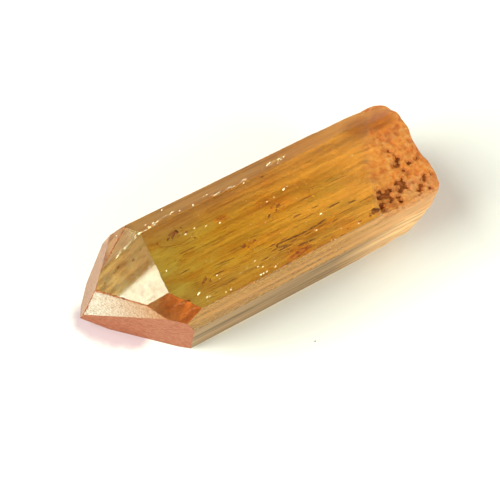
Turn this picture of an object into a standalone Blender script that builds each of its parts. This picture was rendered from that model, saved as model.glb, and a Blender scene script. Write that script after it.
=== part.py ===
"""An imperial topaz crystal, one solid, lying on a prism face.

The long axis of the crystal runs along X, from the pyramid tip to the broken base. It
rests on a prism face at Z = 0, and the side with the low pyramid face looks towards -Y.
Lengths are in millimetres until the mesh is scaled to metres at the end. Up to then the
crystal's axis is the line Y = Z = 0 and the tip is near X = 0, so that each face is a
plane with a direction and a distance. The finished part has its origin under its middle.
"""

import math

import bmesh
import bpy
from mathutils import Matrix, Vector, noise

MM = 0.001
LENGTH = 26.0  # tip to broken base, along the top
BAR_START = -1.5  # the bar begins before the tip, and the pyramid faces cut it back
TIP_ZONE_END = 6.5  # past here no pyramid face reaches
WORN_ZONE_START = 18.6  # from here on the base end is etched, lumpy and pitted
BODY_RING_STEP = 1.75
WORN_RING_STEP = 0.32
OUTLINE_STEP = 0.3  # width of one striation strip on the prism faces

# Each prism face: the direction that it looks, in degrees up from -Y, and its distance
# from the line Y = Z = 0. The broad faces are {120} and the bevels between them {110}.
PRISM_FACES = {
    "side_lower": (-15.7, 3.8),
    "side_upper": (2.0, 5.7),
    "top": (86.1, 8.2),
    "top_bevel": (106.2, 8.4),
    "back_bevel": (154.0, 6.0),
    "back": (182.0, 4.7),
    "resting": (270.0, 0.0),
    "side_foot": (293.1, 1.27),
}

# Each pyramid face: its tilt from the crystal's axis, the direction that it looks round
# the axis as above, and its distance from the origin.
PYRAMID_FACES = {
    "front_top": (58.4, 90.0, 4.41),
    "front_side": (56.5, 60.6, 4.65),
    "front_back": (52.9, 118.8, 3.85),
    "low_side": (44.9, -18.6, -1.25),
    "sliver": (29.7, 21.9, 0.0),
    "low_back": (42.7, 150.3, 1.58),
    "under": (45.6, 289.0, -1.02),
}

RIDGE_DEPTH = 0.04  # how far a striation stands out or sinks
RIDGES_PER_MM = 1.9
RIDGE_LENGTH = 7.0  # a striation fades in and out over about this length

SHOULDER_RADIUS = 0.9  # the broken base's rounded rim
SHOULDER_RINGS = 4
CAP_RINGS = 7
BASE_LEAN = 0.17  # the base falls back by this much per mm down from the top
BASE_RELIEF = 0.45
RELIEF_PHASE = Vector((0.0, 0.0, 49.3))  # picks which stretch of the noise shapes the base
LUMP_HEIGHT = 0.2
LUMPS_PER_MM = 0.75
CRUMB_HEIGHT = 0.08
CRUMBS_PER_MM = 2.6

LEDGE_X = 22.3  # where the smooth top face ends, on the line Y = 0
LEDGE_SLANT = 0.45  # the ledge runs further from the tip towards +Y
LEDGE_DROP = 0.28
NOTCH = Vector((LENGTH, -1.6, 8.2))  # a chip out of the broken base's top rim
NOTCH_RADIUS = 1.3
NOTCH_DEPTH = 0.35

# Rows of etch pits on the top face: where each starts and ends, and how many it has.
PIT_ROWS = (
    (Vector((19.8, -4.8, 0.0)), Vector((24.4, -4.2, 0.0)), 13),
    (Vector((23.3, -0.8, 0.0)), Vector((24.0, -2.8, 0.0)), 5),
    (Vector((21.6, -3.4, 0.0)), Vector((24.6, -2.4, 0.0)), 6),
)
PIT_SCATTER = 0.35
PIT_RADII = (0.26, 0.46)
PIT_DEPTH = 0.42


def prism_normal(turn):
    """Unit normal in the YZ plane of a prism face that looks turn degrees up from -Y."""
    angle = math.radians(turn)
    return Vector((0.0, -math.cos(angle), math.sin(angle)))


def pyramid_normal(tilt, turn):
    """Unit normal of a face tilted from the -X axis by tilt degrees, towards turn."""
    angle = math.radians(tilt)
    return prism_normal(turn) * math.sin(angle) - Vector((math.cos(angle), 0.0, 0.0))


def smooth_step(low, high, value):
    share = min(max((value - low) / (high - low), 0.0), 1.0)
    return share * share * (3.0 - 2.0 * share)


def meeting_line(face, neighbour):
    """Where two prism faces meet, as a point at X = 0."""
    (turn_a, reach_a), (turn_b, reach_b) = face, neighbour
    a, b = prism_normal(turn_a), prism_normal(turn_b)
    cross = a.y * b.z - a.z * b.y
    y = (reach_a * b.z - reach_b * a.z) / cross
    z = (a.y * reach_b - b.y * reach_a) / cross
    return Vector((0.0, y, z))


def striated_outline():
    """Points round the bar at striation spacing, each with the normal of its face."""
    faces = list(PRISM_FACES.values())
    corners = [meeting_line(faces[i - 1], faces[i]) for i in range(len(faces))]
    outline = []
    for i, (turn, _) in enumerate(faces):
        start, end = corners[i], corners[(i + 1) % len(corners)]
        strips = max(2, round((end - start).length / OUTLINE_STEP))
        corner_normal = (prism_normal(turn) + prism_normal(faces[i - 1][0])).normalized()
        for k in range(strips):
            normal = prism_normal(turn) if k else corner_normal
            outline.append((start.lerp(end, k / strips), normal))
    return outline


def ring_plan(half_width):
    """X of each ring and the share of the full outline that it keeps."""
    shoulder_start = LENGTH - SHOULDER_RADIUS
    stations = [BAR_START, TIP_ZONE_END]
    while stations[-1] + BODY_RING_STEP < WORN_ZONE_START:
        stations.append(stations[-1] + BODY_RING_STEP)
    worn_rings = round((shoulder_start - WORN_ZONE_START) / WORN_RING_STEP)
    worn_step = (shoulder_start - WORN_ZONE_START) / worn_rings
    stations += [WORN_ZONE_START + k * worn_step for k in range(worn_rings + 1)]
    plan = [(x, 1.0) for x in stations]
    for k in range(1, SHOULDER_RINGS + 1):
        angle = math.pi / 2 * k / SHOULDER_RINGS
        inset = SHOULDER_RADIUS * (1.0 - math.cos(angle))
        plan.append((shoulder_start + SHOULDER_RADIUS * math.sin(angle), 1 - inset / half_width))
    rim = plan[-1][1]
    plan += [(LENGTH, rim * (1 - k / (CAP_RINGS + 1))) for k in range(1, CAP_RINGS + 1)]
    return plan


def straight_bar(outline, middle):
    """A closed bar through the rings of the plan, and which outline point each vert is."""
    bm = bmesh.new()
    place = bm.verts.layers.int.new("outline_place")
    plan = ring_plan(middle.z)
    ring = [bm.verts.new((plan[0][0], point.y, point.z)) for point, _ in outline]
    for k, vert in enumerate(ring):
        vert[place] = k
    end_face = bm.faces.new(ring)
    to_middle = Matrix.Translation(-middle)
    for (x, share), (next_x, next_share) in zip(plan, plan[1:]):
        end_face = bmesh.ops.extrude_discrete_faces(bm, faces=[end_face])["faces"][0]
        shrink = next_share / share
        bmesh.ops.translate(bm, vec=(next_x - x, 0.0, 0.0), verts=end_face.verts)
        bmesh.ops.scale(bm, vec=(1.0, shrink, shrink), space=to_middle, verts=end_face.verts)
    bmesh.ops.poke(bm, faces=[end_face])
    bmesh.ops.contextual_create(bm, geom=[edge for edge in bm.edges if edge.is_boundary])
    bmesh.ops.recalc_face_normals(bm, faces=bm.faces)
    return bm, place


def ridge_height(x, round_way):
    """How far a striation lifts the surface, round_way mm round the outline."""
    coarse = noise.noise((round_way * RIDGES_PER_MM, x / RIDGE_LENGTH, 3.7))
    fine = noise.noise((round_way * RIDGES_PER_MM * 2.3, x / RIDGE_LENGTH, 9.1))
    return RIDGE_DEPTH * (coarse + 0.6 * fine)


def pits():
    """Centre and radius of each etch pit, scattered along its row."""
    found = []
    for row, (start, end, count) in enumerate(PIT_ROWS):
        for k in range(count):
            shift_x = noise.cell(Vector((k + 0.5, row + 0.5, 0.5))) - 0.5
            shift_y = noise.cell(Vector((k + 0.5, row + 0.5, 1.5))) - 0.5
            size = noise.cell(Vector((k + 0.5, row + 0.5, 2.5)))
            scatter = Vector((shift_x, shift_y, 0.0)) * 2 * PIT_SCATTER
            centre = start.lerp(end, k / (count - 1)) + scatter
            found.append((centre, PIT_RADII[0] + size * (PIT_RADII[1] - PIT_RADII[0])))
    return found


def pit_depth(point, pit_list):
    """How deep the deepest pit over this point is."""
    deepest = 0.0
    for centre, radius in pit_list:
        share = (point.xy - centre.xy).length / radius
        if share < 1.0:
            deepest = max(deepest, PIT_DEPTH * radius / PIT_RADII[1] * (1.0 - share**2))
    return deepest


def side_wear(point, normal, pit_list):
    """How far the worn base end's sides stand out from the straight bar."""
    worn = smooth_step(WORN_ZONE_START, LENGTH - 2.0, point.x)
    lumps = LUMP_HEIGHT * noise.fractal(point * LUMPS_PER_MM, 1.0, 2.0, 2)
    crumbs = CRUMB_HEIGHT * noise.noise(point * CRUMBS_PER_MM)
    height = worn * (lumps + crumbs)
    if normal.z > 0.5:
        past_ledge = point.x - LEDGE_X - LEDGE_SLANT * point.y
        height -= LEDGE_DROP * smooth_step(0.0, 0.4, past_ledge)
    if normal.z > 0.9:
        height -= pit_depth(point, pit_list)
    if normal.z < -0.5:
        height = min(height, 0.0)
    return height


def end_relief(y, z):
    """How far the broken end stands out from a plane across the crystal."""
    point = Vector((LENGTH, y, z))
    relief = BASE_RELIEF * noise.fractal(point * LUMPS_PER_MM + RELIEF_PHASE, 1.0, 2.0, 2)
    from_notch = (point - NOTCH).length / NOTCH_RADIUS
    return relief - NOTCH_DEPTH * max(1.0 - from_notch**2, 0.0)


def weather(bm, place, outline, middle):
    """Moves the straight bar's points: striations along the body, wear at the base."""
    round_ways = [0.0]
    for (point, _), (next_point, _) in zip(outline, outline[1:]):
        round_ways.append(round_ways[-1] + (next_point - point).length)
    pit_list = pits()
    top = max(point.z for point, _ in outline)
    for vert in bm.verts:
        point = vert.co.copy()
        edge_point, normal = outline[vert[place]]
        share = (point.yz - middle.yz).length / (edge_point.yz - middle.yz).length
        on_side = smooth_step(0.7, 0.95, share)
        near_end = smooth_step(WORN_ZONE_START, LENGTH, point.x)
        height = side_wear(point, normal, pit_list)
        if normal.z > -0.99:
            height += ridge_height(point.x, round_ways[vert[place]])
        vert.co += normal * height * on_side
        vert.co.x += near_end**2 * (end_relief(point.y, point.z) - BASE_LEAN * (top - point.z))
        vert.co.z = max(vert.co.z, 0.0)


def cut_pyramid(bm):
    """Cuts the bar back to each pyramid face and closes it with that flat face."""
    for tilt, turn, reach in PYRAMID_FACES.values():
        normal = pyramid_normal(tilt, turn)
        cut = bmesh.ops.bisect_plane(
            bm,
            geom=bm.verts[:] + bm.edges[:] + bm.faces[:],
            plane_co=normal * reach,
            plane_no=normal,
            clear_outer=True,
        )
        rim = [part for part in cut["geom_cut"] if isinstance(part, bmesh.types.BMEdge)]
        bmesh.ops.contextual_create(bm, geom=rim)


def set_origin_under_middle(bm):
    """Moves the crystal so that the origin is under the middle of its box."""
    lows = [min(vert.co[axis] for vert in bm.verts) for axis in range(3)]
    highs = [max(vert.co[axis] for vert in bm.verts) for axis in range(3)]
    under_middle = Vector(((lows[0] + highs[0]) / 2, (lows[1] + highs[1]) / 2, lows[2]))
    bmesh.ops.translate(bm, vec=-under_middle, verts=bm.verts)


def topaz_material():
    material = bpy.data.materials.new("topaz")
    material.use_nodes = True
    shader = material.node_tree.nodes["Principled BSDF"]
    shader.inputs["Base Color"].default_value = (0.68, 0.34, 0.07, 1.0)
    shader.inputs["Roughness"].default_value = 0.15
    shader.inputs["Metallic"].default_value = 0.0
    return material


def make_crystal():
    outline = striated_outline()
    middle = sum((point for point, _ in outline), Vector()) / len(outline)
    bm, place = straight_bar(outline, middle)
    weather(bm, place, outline, middle)
    cut_pyramid(bm)
    set_origin_under_middle(bm)
    bmesh.ops.scale(bm, vec=(MM, MM, MM), verts=bm.verts)
    bmesh.ops.triangulate(bm, faces=bm.faces)
    mesh = bpy.data.meshes.new("topaz_crystal")
    bm.to_mesh(mesh)
    bm.free()
    mesh.materials.append(topaz_material())
    crystal = bpy.data.objects.new("topaz_crystal", mesh)
    bpy.context.scene.collection.objects.link(crystal)


def main():
    for obj in list(bpy.data.objects):
        bpy.data.objects.remove(obj)
    make_crystal()


main()
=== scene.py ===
# A golden topaz crystal that lies on a white table. Lengths are in metres, as in the packed
# frame, and MM turns millimetres into them.
import math
import random

import bmesh
import bpy
from mathutils import Matrix, Vector, noise
from mathutils.bvhtree import BVHTree


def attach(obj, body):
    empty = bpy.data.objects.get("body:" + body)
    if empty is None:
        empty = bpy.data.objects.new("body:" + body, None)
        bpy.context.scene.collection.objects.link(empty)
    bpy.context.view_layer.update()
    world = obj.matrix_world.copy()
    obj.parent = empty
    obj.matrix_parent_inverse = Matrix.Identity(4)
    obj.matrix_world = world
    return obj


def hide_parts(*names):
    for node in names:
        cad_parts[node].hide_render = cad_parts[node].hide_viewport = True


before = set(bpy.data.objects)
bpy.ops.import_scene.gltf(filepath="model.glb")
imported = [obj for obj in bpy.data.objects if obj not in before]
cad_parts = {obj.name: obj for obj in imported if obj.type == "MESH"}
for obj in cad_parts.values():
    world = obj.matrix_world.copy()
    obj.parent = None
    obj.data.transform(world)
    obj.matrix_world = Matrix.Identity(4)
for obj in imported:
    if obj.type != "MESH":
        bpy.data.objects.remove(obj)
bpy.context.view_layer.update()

MM = 0.001  # a millimetre, in the metres of the frame


# --- The view -------------------------------------------------------------------------
# A close look down on the crystal from over its front side, with the tip at the lower
# left and the broken base at the upper right.
CAMERA_PLACE = (-23.86 * MM, -39.13 * MM, 75.54 * MM)
CAMERA_ELEVATION = 58.0
CAMERA_AZIMUTH = -31.1
CAMERA_LENS = 85.74
SENSOR_WIDTH = 36.0

camera_data = bpy.data.cameras.new("view")
camera_data.lens = CAMERA_LENS
camera_data.sensor_width = SENSOR_WIDTH
camera_data.clip_start = 1 * MM
camera = bpy.data.objects.new("view", camera_data)
camera.location = CAMERA_PLACE
camera.rotation_euler = (math.radians(90 - CAMERA_ELEVATION), 0, math.radians(CAMERA_AZIMUTH))
bpy.context.scene.collection.objects.link(camera)
bpy.context.scene.camera = camera
bpy.context.scene.view_settings.view_transform = "Standard"


# --- The crystal ----------------------------------------------------------------------
# One clear golden topaz. It grew as a single prism with a pyramid tip, so it stays one
# closed solid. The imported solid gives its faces, and the etched base is made finer.
MERGE_DISTANCE = 0.0001 * MM
WORN_ZONE_X = 5.9 * MM
SMOOTHING_START_X = 7.0 * MM
SMOOTHING_STEP_X = 0.06 * MM
SMOOTHING_ROUNDS = 40
SHARP_EDGE_ANGLE = math.radians(22)
WORN_EDGE_ANGLE = math.radians(60)

# Each growth face: its tilt from the crystal's axis, the direction that it looks round
# the axis (degrees up from the front side), the tint of its skin, how frosted it is and
# how deep its growth lines are.
GROWTH_FACES = {
    "top": (90, 86, (1.00, 0.80, 0.12), 0.08, 1.0),
    "top_bevel": (90, 106, (0.84, 0.45, 0.07), 0.48, 0.35),
    "back_bevel": (90, 154, (0.92, 0.62, 0.30), 0.22, 1.0),
    "back": (90, 182, (0.90, 0.64, 0.28), 0.22, 1.0),
    "resting": (90, 270, (0.95, 0.80, 0.24), 0.15, 0.5),
    "side_foot": (90, 293, (0.80, 0.58, 0.26), 0.25, 1.0),
    # The lower side faces the table; its dark tint is painted shade.
    "side_lower": (90, -16, (0.30, 0.21, 0.09), 0.25, 1.0),
    "side_upper": (90, 2, (0.84, 0.56, 0.18), 0.25, 1.0),
    "front_top": (58, 90, (1.00, 0.95, 0.50), 0.02, 0.03),
    "front_side": (56, 61, (0.70, 0.175, 0.012), 0.05, 0.1),
    "front_back": (53, 119, (0.98, 0.66, 0.38), 0.45, 0.6),
    "low_side": (45, -19, (0.84, 0.19, 0.05), 0.45, 0.5),
    "sliver": (30, 22, (1.00, 0.95, 0.80), 0.50, 0.5),
    "low_back": (43, 150, (1.00, 0.78, 0.54), 0.40, 0.5),
    "under": (46, 289, (0.95, 0.62, 0.35), 0.20, 0.5),
}
BASE_FROST = 0.8
TIP_END = (-8.6, -7.8)  # where along X in mm the tip passes into the prism

# A stray dimple beside the worn base is filled level with the top.
DIMPLE = (6.5, -4.1)  # its middle in mm
DIMPLE_FILLING = (1.3, 0.6)  # how far from its middle the filling starts and is full, in mm
TOP_HEIGHT = 8.21
TOP_SLOPE = 0.0685
OVER_THE_SIDES = 7  # every place of the top is higher than this, in mm

# The back of the base swells a little. All are in mm.
SWELLING = Vector((0.30, 0, 0.15))

# The base is rough, and its holes are the deepest in it.
ROUGH_GRAINS = 1900  # per metre
ROUGH_DEPTH = 0.13
HOLE_DEPTH = 0.30
HOLES_LOOK_UP = 0.6  # the least upward part of the normal of a face that has holes

# Clouds in the skin of the top: middle, reach along X and Y in mm, and their tint.
CLOUDS = [
    ((1.3, -0.9), (1.6, 0.9), (0.98, 0.74, 0.50)), ((-2.5, 0.1), (0.9, 0.4), (0.98, 0.60, 0.40)),
    ((-5.9, 0.0), (1.9, 0.9), (0.82, 0.66, 0.56)), ((-1.9, -2.6), (1.1, 0.6), (0.96, 0.74, 0.50)),
    ((0.8, -4.6), (1.7, 0.9), (0.98, 0.56, 0.36)), ((4.7, -4.5), (1.4, 0.9), (0.98, 0.66, 0.50)),
    ((-6.3, -3.4), (1.6, 0.7), (0.78, 0.64, 0.46)), ((-1.5, 1.3), (2.6, 1.1), (0.90, 0.80, 0.80)),
    ((1.8, 1.2), (2.0, 0.8), (0.88, 0.74, 0.75)), ((3.2, -3.7), (3.6, 0.8), (0.94, 0.76, 0.50)),
    ((2.0, -4.1), (1.0, 0.30), (0.60, 0.50, 0.40)),
]
CLOUD_HEIGHT = 8.1
CLOUD_THICKNESS = 3.0

# Holes etched in the worn base, seen from over the top: x, y, radius and strength.
ETCH_HOLES = [
    (10.69, -0.84, 0.29, 0.8), (10.86, -1.24, 0.26, 0.8), (10.93, -1.48, 0.26, 0.8),
    (11.03, -1.70, 0.26, 0.8), (10.55, -2.07, 0.42, 1.0), (11.53, -2.35, 0.36, 0.9),
    (11.98, -2.26, 0.26, 0.8), (12.16, -2.23, 0.26, 0.8), (10.80, -2.73, 0.29, 0.8),
    (10.82, -2.98, 0.31, 0.8), (10.34, -3.15, 0.26, 0.7), (10.23, -3.86, 0.39, 1.0),
    (10.30, -3.58, 0.33, 0.8), (11.29, -3.37, 0.26, 0.8), (11.74, -3.79, 0.33, 1.0),
    (11.52, -4.05, 0.36, 1.0), (11.22, -4.29, 0.33, 0.9), (10.83, -4.50, 0.33, 0.9),
    (12.34, -3.74, 0.26, 0.8), (9.90, -3.44, 0.36, 1.0), (9.64, -3.76, 0.36, 1.0),
    (9.22, -4.24, 0.33, 0.9), (9.18, -4.55, 0.29, 0.8), (9.04, -3.43, 0.33, 0.9),
    (8.27, -3.47, 0.39, 1.0), (7.96, -3.77, 0.36, 1.0), (8.64, -3.50, 0.40, 1.0),
    (8.55, -3.88, 0.40, 1.0), (8.68, -4.10, 0.39, 1.0), (7.75, -4.34, 0.29, 1.0),
    (7.91, -4.16, 0.26, 0.9), (10.54, -5.12, 0.33, 0.8), (11.58, -5.00, 0.26, 0.7),
    (11.53, -4.76, 0.26, 0.8), (11.93, -1.22, 0.20, 0.7), (12.04, -0.06, 0.16, 0.6),
    (10.84, -3.76, 0.29, 0.8),
]


def face_direction(tilt, turn):
    """Unit vector tilted from the -X axis by tilt degrees, towards turn."""
    tilt, turn = math.radians(tilt), math.radians(turn)
    round_axis = Vector((0, -math.cos(turn), math.sin(turn)))
    return round_axis * math.sin(tilt) - Vector((math.cos(tilt), 0, 0))


def smooth_step(value, start, end):
    """0 to 1, with soft ends, as a value goes from start to end."""
    share = min(max((value - start) / (end - start), 0), 1)
    return share * share * (3 - 2 * share)


def stain_reach(place, normal):
    """How far a place on the skin is stained by iron, from 0 to 1."""
    x, y, z = place / MM
    # The stain starts along a slanted, wavy line, and leaves a window clear at the back.
    slanted_x = x - 0.46 * y + 0.9 * noise.noise(Vector((x * 0.4, y * 1.4, z)))
    reach = smooth_step(slanted_x, 8.5, 10.6) * smooth_step(z, 6.6, 7.4)
    reach *= smooth_step(math.hypot((x - 11.6) / 1.2, (y - 1.8) / 1.1), 0.7, 1.3)
    return max(reach, 0.9 * smooth_step(normal.x, 0.55, 0.85))


def swelling_share(x, y, z):
    """How far a place in mm has the swelling of the base, from 0 to 1."""
    share = smooth_step(x, 11.0, 12.2) * smooth_step(z, 4.5, 6.5)
    share *= smooth_step(y, -2.2, -0.8) * smooth_step(y, 3.6, 2.6)
    return share


def etch_depth(place):
    """How deep the ragged holes are at a place on the base, from 0 to 1."""
    field = max(strength - math.hypot(place.x / MM - x, place.y / MM - y) / radius
                for x, y, radius, strength in ETCH_HOLES)
    # A coarse and a fine wave, in grains per metre.
    ragged = 0.7 * noise.noise(place * 2700) + 0.6 * noise.noise(place * 6500)
    return min(max(1.6 * (field + 0.9 * ragged), 0), 1)


def object_from(bm, name):
    """The object of a finished mesh. It has the name of its mesh."""
    mesh = bpy.data.meshes.new(name)
    bm.to_mesh(mesh)
    bm.free()
    made = bpy.data.objects.new(name, mesh)
    bpy.context.scene.collection.objects.link(made)
    return made


bm = bmesh.new()
bm.from_mesh(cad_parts["topaz_crystal"].data)
bmesh.ops.remove_doubles(bm, verts=bm.verts, dist=MERGE_DISTANCE)
worn_edges = [edge for edge in bm.edges
              if min(vert.co.x for vert in edge.verts) > WORN_ZONE_X]
bmesh.ops.subdivide_edges(bm, edges=worn_edges, cuts=2, use_grid_fill=True)
for smoothing in range(SMOOTHING_ROUNDS):
    start = SMOOTHING_START_X + SMOOTHING_STEP_X * smoothing
    worn_verts = [vert for vert in bm.verts if vert.co.x > start]
    bmesh.ops.smooth_vert(bm, verts=worn_verts, factor=0.5,
                          use_axis_x=True, use_axis_y=True, use_axis_z=True)
for vert in bm.verts:
    x, y, z = vert.co / MM
    if z > OVER_THE_SIDES:
        filling = smooth_step(math.hypot(x - DIMPLE[0], y - DIMPLE[1]), *DIMPLE_FILLING)
        vert.co.z += max(0, TOP_HEIGHT + TOP_SLOPE * y - z) * filling * MM
    vert.co += SWELLING * swelling_share(x, y, z) * MM
bm.normal_update()
stain_layer = bm.verts.layers.float.new("stained")
etch_layer = bm.verts.layers.float.new("etched")
grain_layer = bm.verts.layers.float.new("grain")
for vert in bm.verts:
    if vert.co.x < WORN_ZONE_X:
        continue
    stained = stain_reach(vert.co, vert.normal)
    etched = etch_depth(vert.co) if vert.normal.z > HOLES_LOOK_UP else 0.0
    grain = min(1, abs(noise.fractal(vert.co * ROUGH_GRAINS, 0.7, 2.0, 4)))
    vert[stain_layer] = stained
    vert[etch_layer] = etched
    vert[grain_layer] = grain
    vert.co -= vert.normal * (HOLE_DEPTH * etched + ROUGH_DEPTH * grain * stained) * MM
directions = {name: face_direction(*row[:2]) for name, row in GROWTH_FACES.items()}
face_names = {}
tint_layer = bm.loops.layers.float_color.new("face_tint")
frost_layer = bm.loops.layers.float.new("face_frost")
line_layer = bm.loops.layers.float.new("line_depth")
top_layer = bm.loops.layers.float.new("on_top")
for face in bm.faces:
    face.smooth = True
    name = max(directions, key=lambda name: directions[name].dot(face.normal))
    face_names[face.index] = name
    tint, frost, line_depth = GROWTH_FACES[name][2:]
    for loop in face.loops:
        loop[tint_layer] = [*tint, 1]
        loop[frost_layer] = frost
        loop[line_layer] = line_depth
        loop[top_layer] = name == "top"
for edge in bm.edges:
    worn = min(vert.co.x for vert in edge.verts) > WORN_ZONE_X
    edge.smooth = edge.calc_face_angle(0) < (WORN_EDGE_ANGLE if worn else SHARP_EDGE_ANGLE)

# The edges between two growth faces, kept for the stains that sit along them.
meeting_edges = {}
for edge in bm.edges:
    if len(edge.link_faces) == 2:
        pair = frozenset(face_names[face.index] for face in edge.link_faces)
        meeting_edges.setdefault(pair, []).append([vert.co.copy() for vert in edge.verts])
crystal = object_from(bm, "crystal")

topaz = bpy.data.materials.new("golden_topaz")
topaz.use_nodes = True
shader = topaz.node_tree.nodes["Principled BSDF"]
shader.inputs["IOR"].default_value = 1.62
shader.inputs["Transmission Weight"].default_value = 0.85


def node_beside(socket, kind):
    """A new node in the same shader as a socket."""
    return socket.id_data.nodes.new("ShaderNode" + kind)


def join(output, target):
    """Links an output to an input of the same shader."""
    output.id_data.links.new(output, target)


def attribute(name, tree):
    """The node that reads a value kept in the mesh."""
    node = tree.nodes.new("ShaderNodeAttribute")
    node.attribute_name = name
    return node


def object_place(tree):
    """The place on the object, in metres."""
    return tree.nodes.new("ShaderNodeTexCoord").outputs["Object"]


def stretched_noise(vector, scale, detail, roughness=0.6):
    """Noise over a vector that is first scaled along each of its axes."""
    mapping = node_beside(vector, "Mapping")
    mapping.inputs["Scale"].default_value = scale
    join(vector, mapping.inputs["Vector"])
    node = node_beside(vector, "TexNoise")
    node.inputs["Scale"].default_value = 1.0
    node.inputs["Detail"].default_value = detail
    node.inputs["Roughness"].default_value = roughness
    join(mapping.outputs["Vector"], node.inputs["Vector"])
    return node.outputs["Fac"]


def ramp(value, *stops):
    """Colours along a value, each given with its position."""
    node = node_beside(value, "ValToRGB")
    elements = node.color_ramp.elements
    while len(elements) < len(stops):
        elements.new(0.5)
    for element, (position, color) in zip(elements, stops):
        element.position = position
        element.color = (*color, 1)
    join(value, node.inputs["Fac"])
    return node.outputs["Color"]


def grey(value):
    """The grey that is as bright as a value."""
    return (value, value, value)


def mixed(factor, a, b, blend="MIX"):
    """Colour a changed by b, by a factor. Each is a number, a colour or a socket."""
    values = (factor, a, b)
    node = node_beside(next(v for v in values if isinstance(v, bpy.types.NodeSocket)), "Mix")
    node.data_type = "RGBA"
    node.blend_type = blend
    # The node has inputs of every type. The factor is input 0, the colours are 6 and 7.
    for target, value in zip((node.inputs[0], node.inputs[6], node.inputs[7]), values):
        if isinstance(value, (int, float)):
            target.default_value = value
        elif isinstance(value, tuple):
            target.default_value = (*value, 1)
        else:
            join(value, target)
    return node.outputs[2]


def multiplied(a, b, factor=1.0):
    """Colour a multiplied by b, all of it or by a factor."""
    return mixed(factor, a, b, "MULTIPLY")


def between(value, start, end):
    """0 to 1 as a value in metres goes from start to end, both in mm."""
    node = node_beside(value, "MapRange")
    node.inputs["From Min"].default_value = start * MM
    node.inputs["From Max"].default_value = end * MM
    join(value, node.inputs["Value"])
    return node.outputs["Result"]


def added(value, more, share):
    """A value with a share of another added."""
    node = node_beside(value, "Math")
    node.operation = "MULTIPLY_ADD"
    node.inputs[1].default_value = share
    join(more, node.inputs[0])
    join(value, node.inputs[2])
    return node.outputs["Value"]


def blot(place, centre, radii, wobble):
    """A soft-edged patch round a centre, both in mm, its edge moved by a wobble."""
    offset = node_beside(place, "VectorMath")
    offset.operation = "SUBTRACT"
    offset.inputs[1].default_value = [side * MM for side in centre]
    join(place, offset.inputs[0])
    shared = node_beside(place, "VectorMath")
    shared.operation = "DIVIDE"
    shared.inputs[1].default_value = [side * MM for side in radii]
    join(offset.outputs["Vector"], shared.inputs[0])
    length = node_beside(place, "VectorMath")
    length.operation = "LENGTH"
    join(shared.outputs["Vector"], length.inputs[0])
    return ramp(added(length.outputs["Value"], wobble, 0.5), (0.55, grey(1)), (1.0, grey(0)))


# Two brown patches lie at the back of the base. Its films show them as well.
BROWN_PATCHES = [  # middle and reach in mm, and tint
    ((9.8, 1.7, 8.2), (2.2, 1.55, 4.0), (0.56, 0.44, 0.42)),
    ((11.6, 1.2, 7.9), (1.7, 1.4, 4.0), (0.74, 0.56, 0.44)),
]
brown_group = bpy.data.node_groups.new("brown_patches", "ShaderNodeTree")
brown_group.interface.new_socket("Color", in_out="INPUT", socket_type="NodeSocketColor")
brown_group.interface.new_socket("Browned", in_out="OUTPUT", socket_type="NodeSocketColor")
patch_color = brown_group.nodes.new("NodeGroupInput").outputs["Color"]
patch_place = object_place(brown_group)
patch_wave = stretched_noise(patch_place, (150, 500, 500), 3.0)
for centre, radii, tint in BROWN_PATCHES:
    patch = blot(patch_place, centre, radii, patch_wave)
    patch_color = multiplied(patch_color, tint, patch)
join(patch_color, brown_group.nodes.new("NodeGroupOutput").inputs["Browned"])


def browned(color):
    """A colour with the brown patches of the base in it."""
    node = node_beside(color, "Group")
    node.node_tree = brown_group
    join(color, node.inputs["Color"])
    return node.outputs["Browned"]


place = object_place(topaz.node_tree)
along = node_beside(place, "SeparateXYZ")
join(place, along.inputs["Vector"])
face_tint = attribute("face_tint", topaz.node_tree).outputs["Color"]
on_top = attribute("on_top", topaz.node_tree).outputs["Fac"]

# Zones of colour along the top, from the olive tip to the tan base, with a wavy edge,
# clouds of orange, and the tint of the bevel where the top bends down to it.
wave = stretched_noise(place, (150, 500, 500), 3.0)
top_tint = ramp(added(between(along.outputs["X"], -13.1, 13.1), wave, 0.22),
                (0.22, (0.93, 0.85, 0.19)), (0.38, (1.0, 0.88, 0.13)),
                (0.50, (1.0, 0.71, 0.06)), (0.68, (1.0, 0.64, 0.06)),
                (0.82, (1.0, 0.70, 0.13)), (0.95, (1.0, 0.68, 0.28)))
clouds = stretched_noise(place, (380, 800, 800), 4.0)
top_tint = multiplied(top_tint, ramp(clouds, (0.36, (0.90, 0.60, 0.38)),
                                     (0.50, (0.98, 0.90, 0.86)), (0.66, grey(1))))
bevel_share = ramp(added(between(along.outputs["Y"], -0.6, 2.8), clouds, 0.7),
                   (0.50, grey(0)), (0.98, grey(1)))
top_tint = mixed(bevel_share, top_tint, (0.86, 0.50, 0.17))
front_share = ramp(added(between(along.outputs["Y"], -2.4, -5.2), clouds, 0.6),
                   (0.50, grey(0)), (1.0, grey(0.6)))
top_tint = mixed(front_share, top_tint, (1.0, 0.72, 0.17))
for centre, radii, tint in CLOUDS:
    share = blot(place, (*centre, CLOUD_HEIGHT), (*radii, CLOUD_THICKNESS), clouds)
    top_tint = multiplied(top_tint, tint, share)
skin = mixed(on_top, face_tint, top_tint)
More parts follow.
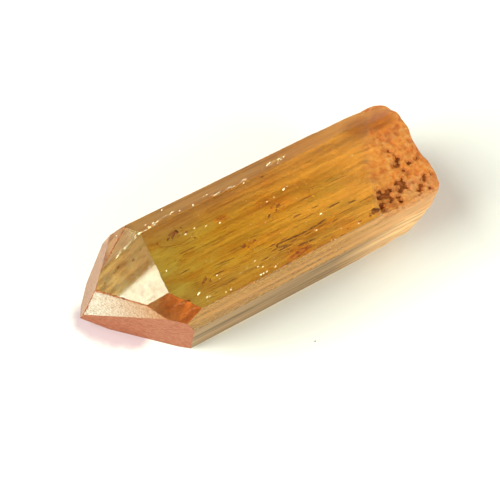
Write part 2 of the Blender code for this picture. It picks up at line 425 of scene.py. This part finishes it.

# Growth lines run along the crystal: broad bands, hair-fine ones and, on the sides,
# brown and grey ones. The sides are also painted darker towards the table, as painted
# shade near their foot.
broad = stretched_noise(place, (60, 900, 900), 3.0)
fine = stretched_noise(place, (160, 5200, 5200), 3.0, 0.7)
speckle = stretched_noise(place, (2200, 5000, 5000), 3.0, 0.7)
strength = ramp(between(along.outputs["X"], 1.0, 9.0), (0, grey(1)), (1, grey(0.45)))
skin = multiplied(skin, ramp(broad, (0.30, (0.78, 0.56, 0.32)), (0.56, grey(1))), strength)
skin = multiplied(skin, ramp(fine, (0.28, (0.64, 0.50, 0.36)), (0.50, grey(1))), strength)
skin = multiplied(skin, ramp(speckle, (0.30, (0.76, 0.62, 0.48)), (0.48, grey(1))),
                  multiplied(strength, on_top))
side_lines = stretched_noise(place, (90, 2400, 2400), 4.0, 0.65)
side_tint = ramp(side_lines, (0.34, (0.42, 0.30, 0.20)), (0.46, (0.85, 0.64, 0.50)),
                 (0.54, grey(1)), (0.64, (0.80, 0.72, 0.50)))
# Painted shade: the sides grow darker towards the table.
painted_foot_shade = ramp(between(along.outputs["Z"], 0.2, 4.5), (0, (0.55, 0.46, 0.40)), (1, grey(1)))
side_tint = multiplied(side_tint, painted_foot_shade)
on_side = ramp(between(along.outputs["Y"], -4.95, -4.6), (0, grey(1)), (1, grey(0)))
on_side = mixed(on_top, on_side, grey(0))
past_tip = ramp(between(along.outputs["X"], *TIP_END), (0, grey(0)), (1, grey(1)))
skin = multiplied(skin, side_tint, multiplied(on_side, past_tip))

# The tip has rusty clouds in its faces. It is browner behind its bruised edge.
tip_clouds = stretched_noise(place, (900, 700, 900), 4.0, 0.65)
tip_rust = multiplied(skin, ramp(tip_clouds, (0.38, (0.76, 0.50, 0.35)), (0.52, grey(1))))
on_tip = ramp(between(along.outputs["X"], *TIP_END), (0, grey(1)), (1, grey(0)))
skin = mixed(on_tip, skin, tip_rust)
behind_edge = ramp(added(between(along.outputs["Y"], 1.5, 2.3), tip_clouds, 0.5),
                   (0.55, grey(0)), (0.80, grey(1)))
behind_edge = multiplied(behind_edge, on_tip)
skin = mixed(behind_edge, skin, multiplied(tip_rust, (0.62, 0.38, 0.26)))

# The base is stained by iron. It keeps a clear brown window behind the ledge.
rust_grain = stretched_noise(place, (2600, 2600, 2600), 5.0, 0.7)
rust = ramp(rust_grain, (0.34, (0.58, 0.22, 0.05)), (0.46, (0.82, 0.40, 0.08)),
            (0.56, (0.92, 0.56, 0.17)), (0.68, (1.0, 0.80, 0.44)))
# The ridges of the rough base stay cream as painted highlights; the hollows are darker and deeper
# orange, partly iron in them and partly painted shade.
painted_ridge_light_and_hollow_iron = ramp(attribute("grain", topaz.node_tree).outputs["Fac"], (0.05, (1.0, 0.98, 0.90)),
              (0.30, (0.98, 0.76, 0.52)), (0.60, (0.80, 0.40, 0.18)))
rust = multiplied(rust, painted_ridge_light_and_hollow_iron)
# A painted cream highlight lies on the front of the rough base.
painted_cream_highlight = blot(place, (10.6, -4.3, 7.4), (2.6, 1.2, 3.0), rust_grain)
rust = mixed(multiplied(painted_cream_highlight, grey(0.55)), rust, (0.98, 0.76, 0.42))
dull = blot(place, (11.6, 0.4, 7.4), (1.9, 1.5, 3.0), rust_grain)
rust = multiplied(rust, (0.78, 0.68, 0.74), dull)
stained = added(attribute("stained", topaz.node_tree).outputs["Fac"], broad, 0.5)
stained = ramp(stained, (0.35, grey(0)), (1.0, grey(1)))
clear_window = blot(place, (11.7, 1.8, 7.8), (1.7, 1.5, 4.0), wave)
skin = mixed(stained, skin, rust)
skin = mixed(clear_window, skin, (0.44, 0.19, 0.07))
skin = browned(skin)
etched = attribute("etched", topaz.node_tree).outputs["Fac"]
hole_edge = ramp(etched, (0.02, grey(0)), (0.35, grey(1)))
skin = mixed(hole_edge, skin, (0.58, 0.19, 0.030))
join(skin, shader.inputs["Base Color"])

# The skin is duller towards the base, behind the bruised edge and in the holes.
face_frost = attribute("face_frost", topaz.node_tree).outputs["Fac"]
frost = mixed(stained, face_frost, grey(BASE_FROST))
base_frost = ramp(between(along.outputs["X"], 3.5, 10.0), (0, grey(0)), (1, grey(0.35)))
frost = mixed(1.0, frost, base_frost, "ADD")
frost = mixed(behind_edge, frost, grey(0.5))
frost = mixed(hole_edge, frost, grey(BASE_FROST))
frost = multiplied(frost, ramp(speckle, (0.3, grey(0.7)), (0.7, grey(1.3))))
join(frost, shader.inputs["Roughness"])

# Growth lines stand in relief, as deep as each face has them. The base has grains instead.
tip_lines = stretched_noise(place, (60, 5200, 60), 3.0, 0.7)
line_depth = attribute("line_depth", topaz.node_tree).outputs["Fac"]
line_height = mixed(line_depth, tip_lines, mixed(0.5, fine, broad))
line_height = multiplied(line_height, line_depth)
line_height = mixed(stained, line_height, rust_grain)
bump = node_beside(line_height, "Bump")
bump.inputs["Strength"].default_value = 0.3
bump.inputs["Distance"].default_value = 0.05 * MM
join(line_height, bump.inputs["Height"])
join(bump.outputs["Normal"], shader.inputs["Normal"])

absorption = topaz.node_tree.nodes.new("ShaderNodeVolumeAbsorption")
absorption.inputs["Color"].default_value = (0.96, 0.88, 0.10, 1)
absorption.inputs["Density"].default_value = 110.0
join(absorption.outputs["Volume"], topaz.node_tree.nodes["Material Output"].inputs["Volume"])
crystal.data.materials.append(topaz)
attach(crystal, "root")
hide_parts("topaz_crystal")


# --- Frosted skin ---------------------------------------------------------------------
# The faces of the tip and the two front sides are etched dull, each in its own thin film.
# The broad low tip face is salmon pink, the narrow one over it cream and the one in front
# brown. The sides have brown and olive lines, and the top grows more orange to the base.
FILM_GAP = 0.004  # mm between a film and the crystal
FILM_ROUGHNESS = 0.55
FROSTED_FACES = {  # grains per metre, dark and light colour, least and most cover
    "low_side": ((1800, 3800, 3800), (0.26, 0.078, 0.033), (0.315, 0.099, 0.042), 0.80, 1.0),
    "sliver": ((4500, 7000, 7000), (0.34, 0.26, 0.18), (0.46, 0.42, 0.36), 0.65, 1.0),
    "side_upper": ((60, 2200, 2200), (0.24, 0.130, 0.040), (0.42, 0.220, 0.070), 0.35, 0.75),
    # The lower side's film is darker than the upper side's: painted shade.
    "side_lower": ((60, 2000, 2000), (0.12, 0.080, 0.040), (0.29, 0.176, 0.080), 0.80, 1.0),
    "low_back": ((5000, 7000, 7000), (0.30, 0.175, 0.120), (0.40, 0.245, 0.170), 0.45, 0.70),
    "front_top": ((400, 2600, 400), (0.15, 0.070, 0.018), (0.46, 0.27, 0.070), 0.15, 0.50),
    "front_side": ((500, 1500, 500), (0.05, 0.018, 0.004), (0.18, 0.080, 0.020), 0.10, 0.55),
    "front_back": ((900, 2600, 900), (0.18, 0.085, 0.040), (0.46, 0.270, 0.130), 0.10, 0.45),
    "top": ((160, 2600, 2600), (0.22, 0.075, 0.008), (0.72, 0.29, 0.036), 0.12, 0.50),
}
FAR_COLORS = {  # where along X in mm the colours change, and to which dark and light one
    "sliver": (-12.2, -9.4, (0.27, 0.113, 0.045), (0.33, 0.18, 0.088)),
    "front_top": (-11.4, -8.6, (0.08, 0.032, 0.008), (0.26, 0.125, 0.035)),
    "front_side": (-9.2, -7.8, (0.14, 0.028, 0.003), (0.46, 0.105, 0.008)),
    "side_upper": (4.0, 9.5, (0.34, 0.205, 0.090), (0.58, 0.330, 0.150)),
    "side_lower": (4.0, 9.5, (0.44, 0.250, 0.110), (0.78, 0.480, 0.220)),
}
THINNED = {  # where the cover grows from a share of itself to all of it: axis, from, to, share
    "top": ("X", -6.0, 9.5, 0.0),
    "front_top": ("Y", -0.80, -0.50, 0.10),
}

# Fine grain between two colours. Every dull mineral of the crystal has it.
grain_group = bpy.data.node_groups.new("mineral_grain", "ShaderNodeTree")
for name, kind in (("Grains", "Vector"), ("Dark", "Color"), ("Light", "Color"),
                   ("Roughness", "Float")):
    grain_group.interface.new_socket(name, in_out="INPUT", socket_type="NodeSocket" + kind)
for name, kind in (("Color", "Color"), ("Roughness", "Float"), ("Height", "Float")):
    grain_group.interface.new_socket(name, in_out="OUTPUT", socket_type="NodeSocket" + kind)
grain_in = grain_group.nodes.new("NodeGroupInput")
grain_out = grain_group.nodes.new("NodeGroupOutput")
grain_place = node_beside(grain_in.outputs["Grains"], "VectorMath")
grain_place.operation = "MULTIPLY"
join(object_place(grain_group), grain_place.inputs[0])
join(grain_in.outputs["Grains"], grain_place.inputs[1])
grain_height = stretched_noise(grain_place.outputs["Vector"], (1, 1, 1), 5.0, 0.7)
grain_share = ramp(grain_height, (0.38, grey(0)), (0.58, grey(1)))
join(mixed(grain_share, grain_in.outputs["Dark"], grain_in.outputs["Light"]),
     grain_out.inputs["Color"])
join(multiplied(grain_in.outputs["Roughness"],
                ramp(grain_height, (0.3, grey(1.2)), (0.7, grey(0.8)))),
     grain_out.inputs["Roughness"])
join(grain_height, grain_out.inputs["Height"])


def grained_material(name, grains, dark, light, roughness):
    """A dull mineral with grains per metre between two colours, and its grain node."""
    material = bpy.data.materials.new(name)
    material.use_nodes = True
    shader = material.node_tree.nodes["Principled BSDF"]
    shader.inputs["Specular IOR Level"].default_value = 0.15
    grain = material.node_tree.nodes.new("ShaderNodeGroup")
    grain.node_tree = grain_group
    grain.inputs["Grains"].default_value = grains
    grain.inputs["Dark"].default_value = (*dark, 1)
    grain.inputs["Light"].default_value = (*light, 1)
    grain.inputs["Roughness"].default_value = roughness
    join(grain.outputs["Color"], shader.inputs["Base Color"])
    join(grain.outputs["Roughness"], shader.inputs["Roughness"])
    return material, shader, grain


for name, row in FROSTED_FACES.items():
    grains, dark, light, thin, thick = row
    bm = bmesh.new()
    bm.from_mesh(crystal.data)
    others = [face for face in bm.faces if face_names[face.index] != name]
    bmesh.ops.delete(bm, geom=others, context="FACES")
    for vert in bm.verts:
        vert.co += directions[name] * FILM_GAP * MM
    frosted = object_from(bm, name + "_skin")
    frosting, frost_shader, grain = grained_material(
        name + "_frosting", grains, dark, light, FILM_ROUGHNESS)
    join(browned(grain.outputs["Color"]), frost_shader.inputs["Base Color"])
    cover = ramp(grain.outputs["Height"], (0.3, grey(thin)), (0.6, grey(thick)))
    frost_along = node_beside(cover, "SeparateXYZ")
    join(object_place(frosting.node_tree), frost_along.inputs["Vector"])
    if name in FAR_COLORS:
        start, end, far_dark, far_light = FAR_COLORS[name]
        far = between(frost_along.outputs["X"], start, end)
        join(ramp(far, (0, dark), (1, far_dark)), grain.inputs["Dark"])
        join(ramp(far, (0, light), (1, far_light)), grain.inputs["Light"])
    if name in THINNED:
        axis, start, end, share = THINNED[name]
        reach = between(frost_along.outputs[axis], start, end)
        cover = multiplied(cover, ramp(reach, (0, grey(share)), (1, grey(1))))
    # The films give way to the rust of the base.
    rusty = attribute("stained", frosting.node_tree).outputs["Fac"]
    cover = multiplied(cover, ramp(rusty, (0.2, grey(1)), (1.0, grey(0.35))))
    join(cover, frost_shader.inputs["Alpha"])
    frosted.data.materials.append(frosting)
    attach(frosted, "root")


# --- Limonite in the holes ------------------------------------------------------------
# Soft brown iron ore has settled in the etched holes of the base. It lines them, so it
# takes their shape and lies a hair above the topaz.
ORE_FROM = 0.42  # how deeply etched a place is where the ore starts, from 0 to 1
ORE_GAP = 0.012  # mm above the topaz, with more of it where the hole is deep
ORE_SWELL = 0.03

bm = bmesh.new()
bm.from_mesh(crystal.data)
etch_layer = bm.verts.layers.float["etched"]
clean = [face for face in bm.faces if min(vert[etch_layer] for vert in face.verts) < ORE_FROM]
bmesh.ops.delete(bm, geom=clean, context="FACES")
bm.normal_update()
for vert in bm.verts:
    vert.co += vert.normal * (ORE_GAP + ORE_SWELL * vert[etch_layer]) * MM
limonite = object_from(bm, "limonite")
ore, ore_shader, ore_grain = grained_material("brown_limonite", (5000, 5000, 5000),
                                              (0.20, 0.04, 0.006), (0.50, 0.14, 0.015), 0.85)
ore_depth = added(attribute("etched", ore.node_tree).outputs["Fac"],
                  ore_grain.outputs["Height"], -0.5)
join(ramp(ore_depth, (0.05, (0.28, 0.07, 0.010)), (0.30, (0.06, 0.013, 0.003))),
     ore_grain.inputs["Dark"])
join(ramp(ore_depth, (0.05, (0.45, 0.13, 0.02)), (0.35, (0.13, 0.03, 0.005))),
     ore_grain.inputs["Light"])
ore_bump = node_beside(ore_depth, "Bump")
ore_bump.inputs["Strength"].default_value = 0.5
ore_bump.inputs["Distance"].default_value = 0.04 * MM
join(ore_grain.outputs["Height"], ore_bump.inputs["Height"])
join(ore_bump.outputs["Normal"], ore_shader.inputs["Normal"])
limonite.data.materials.append(ore)
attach(limonite, "root")


# --- Marks inside the crystal ---------------------------------------------------------
# Hair-thin growth tubes, grains of iron oxide and orange rust that the crystal took in as
# it grew. They lie in its upper skin or just under it, and the tubes run along it. Their
# places and sizes are in mm.
TUBES = [  # x, y, length, width
    (0.10, -3.97, 1.1, 0.11), (1.30, -4.32, 0.9, 0.16), (4.80, -2.82, 0.9, 0.11),
    (6.00, -3.22, 0.7, 0.12), (2.10, -2.28, 0.6, 0.10), (5.20, -3.60, 1.6, 0.05),
    (3.90, -3.90, 1.4, 0.05), (6.90, -3.50, 1.2, 0.05), (-6.0, 0.70, 0.5, 0.20),
    (-5.70, -0.90, 1.2, 0.06), (-1.20, -2.20, 0.8, 0.05), (6.20, -1.20, 1.5, 0.05),
    (0.90, -3.80, 0.6, 0.10), (3.40, -1.40, 1.1, 0.06), (-3.9, -2.9, 1.3, 0.06),
    (-4.7, -3.4, 1.0, 0.07), (-4.5, -4.3, 1.2, 0.06), (-6.6, -2.2, 0.9, 0.08),
    (1.98, -4.38, 0.5, 0.10), (-0.55, -3.40, 0.5, 0.09), (-0.57, -3.77, 0.6, 0.09),
    (3.55, -2.30, 0.5, 0.08), (0.37, -3.39, 0.5, 0.07), (-1.53, -4.04, 0.6, 0.08),
]
HOOKED_TUBE = [(3.59, -3.49), (2.9, -3.58), (2.2, -3.62), (1.5, -3.62), (0.8, -3.58),
               (0.2, -3.52), (-0.2, -3.50), (-0.36, -3.60), (-0.33, -3.74), (-0.15, -3.80),
               (0.3, -3.86)]
BUBBLE_RIM = [(-7.18, 0.53), (-7.10, 0.25), (-6.77, 0.02), (-6.31, -0.15), (-5.78, -0.28),
              (-5.12, -0.20), (-4.62, 0.05)]
IRON_GRAINS = [  # x, y, width across
    (1.38, -0.98, 0.36), (1.60, -0.85, 0.16), (1.10, -1.20, 0.20), (1.70, -1.25, 0.14),
    (1.25, -0.70, 0.14), (0.90, -0.90, 0.14), (0.44, -1.35, 0.28), (0.60, -1.60, 0.14),
    (-2.25, -2.48, 0.36), (-2.00, -2.70, 0.16), (-1.45, -2.50, 0.26), (-5.94, 0.61, 0.52),
    (-5.60, 0.66, 0.30), (-5.20, 0.80, 0.16), (-6.35, 0.50, 0.24), (-5.05, 0.35, 0.20),
    (-5.72, -3.34, 0.30), (-5.50, -3.60, 0.22), (-5.95, -3.50, 0.24), (1.65, 1.55, 0.20),
    (-7.18, 0.53, 0.16), (-4.76, -0.33, 0.14), (4.20, -1.00, 0.12), (2.90, 0.80, 0.12),
    (7.02, -4.60, 0.56), (6.78, -4.62, 0.40), (6.41, -4.80, 0.22),
    (-9.00, 0.64, 0.22), (-10.34, 0.89, 0.24), (-10.04, 0.99, 0.26), (-8.29, 0.82, 0.16),
    (-11.20, 0.80, 0.14), (-9.38, 1.30, 0.14), (-9.72, -2.30, 0.10), (-10.6, -1.35, 0.10),
]
ORANGE_GRAINS = [  # x, y, width across
    (-2.62, 0.13, 0.24), (-2.40, 0.05, 0.16), (-2.20, 0.10, 0.12), (0.25, -4.82, 0.46),
    (0.80, -4.76, 0.56), (1.30, -4.72, 0.40), (-0.10, -5.02, 0.16), (3.30, -4.90, 0.16),
    (4.60, -4.85, 0.18), (5.60, -4.80, 0.18), (-7.81, -4.09, 0.36), (-7.81, -4.73, 0.30),
    (-7.51, -4.70, 0.26), (-8.32, -3.86, 0.20), (6.60, -4.60, 0.16), (2.20, -4.95, 0.16),
]
TUBE_FORM = (1.05, 0.4)  # breadth and height of a tube 1 mm wide
THREAD_HEIGHT = 0.4  # of its width
THREAD_OVERLAP = 1.25  # so that the grains of a thread touch
IRON_FORM = (1.0, 0.6, 0.2)  # length, breadth and height of a grain 1 mm across
RUST_FORM = (2.0, 0.5, 0.15)
GRAIN_DEPTH = 0.005  # mm under the skin
HAIR_TUBES = 110
HAIR_WIDTHS = (0.03, 0.05)
HAIR_HEIGHT = 0.03
HAIR_LENGTHS = (0.3, 1.4)
HAIR_DEPTHS = (-0.005, 0.10)  # mm under the skin
FLAT_ENOUGH = 0.95  # the least upward part of the normal where a hair tube lies
MARK_GRAINS = (4000, 4000, 4000)  # per metre
OVER_THE_CRYSTAL = 20 * MM

crystal_tree = BVHTree.FromObject(crystal, bpy.context.evaluated_depsgraph_get())
chance = random.Random(7)


def under_skin(x, y, depth):
    """A place that lies depth mm under the upper skin at x, y in mm, and its normal."""
    above = (x * MM, y * MM, OVER_THE_CRYSTAL)
    spot, normal = crystal_tree.ray_cast(above, (0, 0, -1))[:2]
    return spot - normal * depth * MM, normal


def add_grain(bm, place, along, normal, size, raggedness):
    """One small body, with its length, width and height in mm, ragged by where it lies."""
    verts = bmesh.ops.create_icosphere(bm, subdivisions=2, radius=0.5)["verts"]
    for vert in verts:
        vert.co *= 1 + raggedness * noise.noise(vert.co * 2.5 + place * 5000)
        vert.co = Vector(side * reach * MM for side, reach in zip(vert.co, size))
    across = normal.cross(along).normalized()
    turn = Matrix((across.cross(normal), across, normal)).transposed()
    bmesh.ops.rotate(bm, verts=verts, cent=(0, 0, 0), matrix=turn)
    bmesh.ops.translate(bm, verts=verts, vec=place)


def add_grains(bm, grains, form, turns):
    """Grains given by x, y and width, each turned by chance within a range of slopes."""
    for x, y, width in grains:
        place, normal = under_skin(x, y, GRAIN_DEPTH)
        along = Vector((1, chance.uniform(*turns), 0))
        add_grain(bm, place, along, normal, [width * share for share in form], 1.3)


def add_thread(bm, spots, width, depth):
    """A broken thread of long grains through spots given by x and y in mm."""
    for start, end in zip(spots, spots[1:]):
        (start, normal), (end, _) = under_skin(*start, depth), under_skin(*end, depth)
        size = ((end - start).length / MM * THREAD_OVERLAP, width, width * THREAD_HEIGHT)
        add_grain(bm, (start + end) / 2, end - start, normal, size, 0.5)


def finish_marks(name, bm, mineral, dark, light, roughness):
    """Makes the marks one piece of the crystal, of a mineral between two colours."""
    for face in bm.faces:
        face.smooth = True
    marks = object_from(bm, name)
    material = grained_material(mineral, MARK_GRAINS, dark, light, roughness)[0]
    marks.data.materials.append(material)
    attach(marks, "root")


bm = bmesh.new()
for x, y, length, width in TUBES:
    place, normal = under_skin(x, y, 0.0)
    along = Vector((1, math.tan(math.radians(chance.uniform(-4, 4))), 0))
    size = (length, *(width * share for share in TUBE_FORM))
    add_grain(bm, place, along, normal, size, 0.5)
# The finest tubes crowd towards the lower edge of the top.
for _ in range(HAIR_TUBES):
    x, y = chance.uniform(-6.5, 8.0), chance.triangular(-5.0, 2.2, -4.6)
    place, normal = under_skin(x, y, chance.uniform(*HAIR_DEPTHS))
    if normal.z > FLAT_ENOUGH:
        size = (chance.uniform(*HAIR_LENGTHS), chance.uniform(*HAIR_WIDTHS), HAIR_HEIGHT)
        add_grain(bm, place, Vector((1, 0, 0)), normal, size, 0.3)
add_thread(bm, HOOKED_TUBE, width=0.12, depth=-0.005)
finish_marks("growth_tubes", bm, "tube_filling", (0.060, 0.021, 0.003), (0.16, 0.060, 0.009), 0.5)

bm = bmesh.new()
add_grains(bm, IRON_GRAINS, IRON_FORM, (-0.5, 1))
add_thread(bm, BUBBLE_RIM, width=0.04, depth=0.0)
finish_marks("iron_grains", bm, "iron_oxide", (0.045, 0.012, 0.003), (0.20, 0.060, 0.008), 0.7)

bm = bmesh.new()
add_grains(bm, ORANGE_GRAINS, RUST_FORM, (-0.1, 0.1))
finish_marks("orange_stains", bm, "orange_rust", (0.14, 0.030, 0.004), (0.32, 0.095, 0.010), 0.5)


# --- Stains and painted shade along the edges -----------------------------------------
# Rust has crept into the bruised edges of the tip and along the lower edge of the top.
# It sits half in the skin, in short broken threads. The threads where the sliver meets
# the low side face are partly painted shade, a dark line along that edge.
EDGE_STAINS_AND_SHADE = [  # the two faces, how full of stain, width, furthest x
    ("front_top", "sliver", 1.0, 0.15, 20), ("front_top", "low_back", 0.9, 0.07, 20),
    ("sliver", "low_back", 1.0, 0.12, 20), ("front_top", "front_back", 1.0, 0.15, 20),
    # Partly painted shade: the dark line where the sliver meets the low side face.
    ("sliver", "low_side", 0.8, 0.07, 20), ("front_back", "low_back", 0.6, 0.07, 20),
    ("front_top", "front_side", 0.25, 0.06, 20), ("sliver", "front_side", 0.9, 0.08, 20),
    ("low_side", "low_back", 0.8, 0.07, 20), ("front_side", "side_upper", 0.4, 0.06, 20),
    ("low_side", "side_lower", 0.4, 0.06, 20), ("low_side", "side_upper", 0.4, 0.06, 20),
    ("top", "side_upper", 0.55, 0.07, 5), ("top", "front_side", 0.3, 0.05, 20),
]
THREAD_STEP = 0.16 * MM
THREAD_LENGTHS = (0.15, 0.35)
THREAD_DEPTH = 0.01  # mm under the edge

bm = bmesh.new()
for first, second, fullness, width, furthest in EDGE_STAINS_AND_SHADE:
    for start, end in meeting_edges.get(frozenset((first, second)), []):
        if max(start.x, end.x) > furthest * MM:
            continue
        steps = max(1, round((end - start).length / THREAD_STEP))
        for step in range(steps):
            if chance.random() < fullness:
                place = start.lerp(end, (step + chance.random()) / steps)
                normal = (directions[first] + directions[second]).normalized()
                length = chance.uniform(*THREAD_LENGTHS)
                size = (length, width * chance.uniform(0.5, 1.1), width * 0.5)
                place -= normal * THREAD_DEPTH * MM
                add_grain(bm, place, end - start, normal, size, 0.9)
finish_marks("edge_stains_and_shade", bm, "edge_rust_and_shade", (0.10, 0.028, 0.009), (0.34, 0.11, 0.035), 0.6)


# --- Chips and painted glints ---------------------------------------------------------
# Tiny bruises where the skin is broken, each a flat whitish flake of crushed topaz that
# catches the light. They crowd along the back edge of the top, down to the tip. The
# sparks and the fine crumbs are whitish flakes as well, but they are painted
# highlights, glints of light on the skin. Their places and sizes are in mm.
PAINTED_GLINTS = [  # x, y, width across
    (2.46, -0.03, 0.24), (2.75, 0.05, 0.10), (2.65, 2.39, 0.16), (1.52, -0.24, 0.14),
    (0.90, -0.34, 0.12), (-2.7, -0.14, 0.14), (-3.66, 0.11, 0.14), (-4.89, -3.48, 0.12),
    (-6.59, -4.06, 0.26), (-6.25, -4.55, 0.18), (-6.1, -4.60, 0.12), (-5.01, -4.85, 0.14),
    (-4.64, -4.86, 0.14), (-2.18, -3.83, 0.12), (-2.22, -4.29, 0.14), (-1.94, -4.46, 0.14),
    (-2.35, -4.89, 0.16), (-2.14, -4.89, 0.14), (-1.89, -4.89, 0.16), (-1.19, -4.86, 0.18),
    (3.57, -2.96, 0.18), (4.16, -4.60, 0.12), (5.43, -4.89, 0.14), (8.03, -0.10, 0.14),
    (-5.16, 0.24, 0.18), (-4.44, 0.35, 0.14), (-3.58, 1.98, 0.20), (-5.52, 2.91, 0.14),
    (-4.58, 2.05, 0.14), (-7.62, -1.55, 0.14), (-7.10, 2.28, 0.12), (-9.01, 3.06, 0.14),
    (3.94, 2.34, 0.22), (3.6, 2.2, 0.14), (2.86, 2.46, 0.16), (2.5, 2.3, 0.14),
    (3.2, 2.0, 0.14), (2.67, -3.89, 0.16), (3.10, -5.05, 0.12), (3.35, -5.08, 0.12),
    (0.29, 1.75, 0.14), (-0.75, 1.98, 0.12), (-0.4, 1.88, 0.12),
]
GLINT_DEPTH = 0.012
GLINT_HEIGHT = 0.05
BRUISED_EDGE = [  # x, y
    (-5.23, 2.29), (-5.54, 2.19), (-5.92, 2.15), (-6.36, 2.10), (-6.79, 1.98), (-7.11, 1.90),
    (-7.62, 1.85), (-8.03, 1.86), (-8.39, 1.90), (-8.80, 1.85), (-9.20, 1.78), (-9.60, 1.70),
    (3.0, 2.3), (3.3, 2.35), (3.6, 2.3), (-0.62, 1.94), (0.28, 1.99), (-1.83, 1.95),
    (-2.61, 2.35),
]
FLAKE_DEPTH = 0.01
FLAKE_HEIGHT = 0.03
FINE_GLINTS = 40  # fine ones, all over the top and most along its lower edge
FINE_GLINT_SIZE = (0.07, 0.025, 0.02)

bm = bmesh.new()
# Painted highlights: each spark is a whitish flake that stands for a glint.
for x, y, width in PAINTED_GLINTS:
    place, normal = under_skin(x, y, GLINT_DEPTH)
    along = Vector((1, chance.uniform(0, 1), 0))
    add_grain(bm, place, along, normal, (width, width * 0.5, GLINT_HEIGHT), 1.2)
for x, y in BRUISED_EDGE:
    for _ in range(chance.randint(2, 5)):
        beside = (x + chance.uniform(-0.3, 0.3), y + chance.uniform(-0.09, 0.09))
        place, normal = under_skin(*beside, FLAKE_DEPTH)
        size = (chance.uniform(0.12, 0.5), chance.uniform(0.02, 0.06), FLAKE_HEIGHT)
        add_grain(bm, place, Vector((1, 0.15, 0)), normal, size, 1.2)
# The fine crumbs are painted glints as well.
for _ in range(FINE_GLINTS):
    x, y = chance.uniform(-6.5, 6.0), chance.triangular(-5.1, 2.6, -4.9)
    place, normal = under_skin(x, y, GRAIN_DEPTH)
    add_grain(bm, place, Vector((1, chance.random(), 0)), normal, FINE_GLINT_SIZE, 0.9)
finish_marks("chips_and_glints", bm, "crushed_topaz_and_glints", (1, 0.86, 0.40), (1, 1, 0.85), 0.3)


# --- The table and the light ----------------------------------------------------------
# A white table top under soft, even light, with one window on the left. The window's
# straight edge is mirrored across the broad face of the tip. The table has a painted
# pink caustic beside the tip, a pool of light that came through the crystal, and one
# dark speck in front of the crystal, both placed in mm.
TABLE_REACH = 0.6
TABLE_COLOR = (0.72, 0.73, 0.71)
FLOOR_GAP = 0.03 * MM
PAINTED_PINK_CAUSTIC = [(-12.6, 2.4), (-12.3, 1.5), (-11.8, 0.65), (-11.1, 0.0), (-10.3, -0.6)]  # x, y
CAUSTIC_RADII = (2.1, 2.1, 1)
CAUSTIC_COLOR = (0.44, 0.35, 0.40)
SPECK_PLACE = (0.56, -7.63, 0)
SPECK_RADII = (0.15, 0.10, 1)
WINDOW_EDGE = (-180.2 * MM, 119.5 * MM, 143.7 * MM)
WINDOW_ALONG = (0.668, 0.108, 0.736)
WINDOW_ACROSS = (-0.288, -0.875, 0.390)
WINDOW_HEIGHT = 260 * MM
WINDOW_WIDTH = 220 * MM
WINDOW_POWER = 1.9
CARD_PLACE = (100 * MM, -240 * MM, 130 * MM)
CARD_SIZE = 200 * MM
CARD_POWER = 0.7

bm = bmesh.new()
bmesh.ops.create_grid(bm, x_segments=1, y_segments=1, size=TABLE_REACH)
bmesh.ops.translate(bm, vec=(0, 0, -FLOOR_GAP), verts=bm.verts)
floor = object_from(bm, "floor")
white = bpy.data.materials.new("white_table")
white.use_nodes = True
white_shader = white.node_tree.nodes["Principled BSDF"]
white_shader.inputs["Roughness"].default_value = 0.8
table_place = object_place(white.node_tree)
table_wave = stretched_noise(table_place, (600, 600, 600), 4.0)
table = TABLE_COLOR
# Painted light: a pink caustic on the table beside the tip.
for x, y in PAINTED_PINK_CAUSTIC:
    painted_caustic = blot(table_place, (x, y, 0), CAUSTIC_RADII, table_wave)
    table = mixed(painted_caustic, table, CAUSTIC_COLOR)
speck = blot(table_place, SPECK_PLACE, SPECK_RADII, table_wave)
table = mixed(speck, table, grey(0.22))
join(table, white_shader.inputs["Base Color"])
floor.data.materials.append(white)

# The room is bright all round and dim overhead, so that the upward faces mirror little
# of it and show the colour inside.
DIM_CENTRE = (-0.10, 0.10, 0.99)

world = bpy.data.worlds.new("studio")
world.use_nodes = True
sky_dot = world.node_tree.nodes.new("ShaderNodeVectorMath")
sky_dot.operation = "DOT_PRODUCT"
sky_dot.inputs[1].default_value = DIM_CENTRE
join(node_beside(sky_dot.inputs[0], "TexCoord").outputs["Generated"], sky_dot.inputs[0])
sky = ramp(sky_dot.outputs["Value"], (0.25, (1.7, 1.68, 1.58)), (0.50, grey(0.25)),
           (0.70, grey(0.12)))
background = world.node_tree.nodes["Background"]
join(sky, background.inputs["Color"])
background.inputs["Strength"].default_value = 1.0
bpy.context.scene.world = world

window_data = bpy.data.lights.new("window", "AREA")
window_data.shape = "RECTANGLE"
window_data.size = WINDOW_HEIGHT
window_data.size_y = WINDOW_WIDTH
window_data.energy = WINDOW_POWER
window_data.color = (0.98, 1.0, 0.86)
window = bpy.data.objects.new("window", window_data)
across = Vector(WINDOW_ACROSS)
facing = Vector(WINDOW_ALONG).cross(-across)
window_turn = Matrix((WINDOW_ALONG, -across, facing)).transposed().to_4x4()
window_centre = Vector(WINDOW_EDGE) + across * WINDOW_WIDTH / 2
window.matrix_world = Matrix.Translation(window_centre) @ window_turn
bpy.context.scene.collection.objects.link(window)

card_data = bpy.data.lights.new("front_card", "AREA")
card_data.size = CARD_SIZE
card_data.energy = CARD_POWER
card_data.color = (0.95, 0.97, 0.86)
card = bpy.data.objects.new("front_card", card_data)
card.location = CARD_PLACE
card.rotation_euler = card.location.to_track_quat("Z", "Y").to_euler()
bpy.context.scene.collection.objects.link(card)
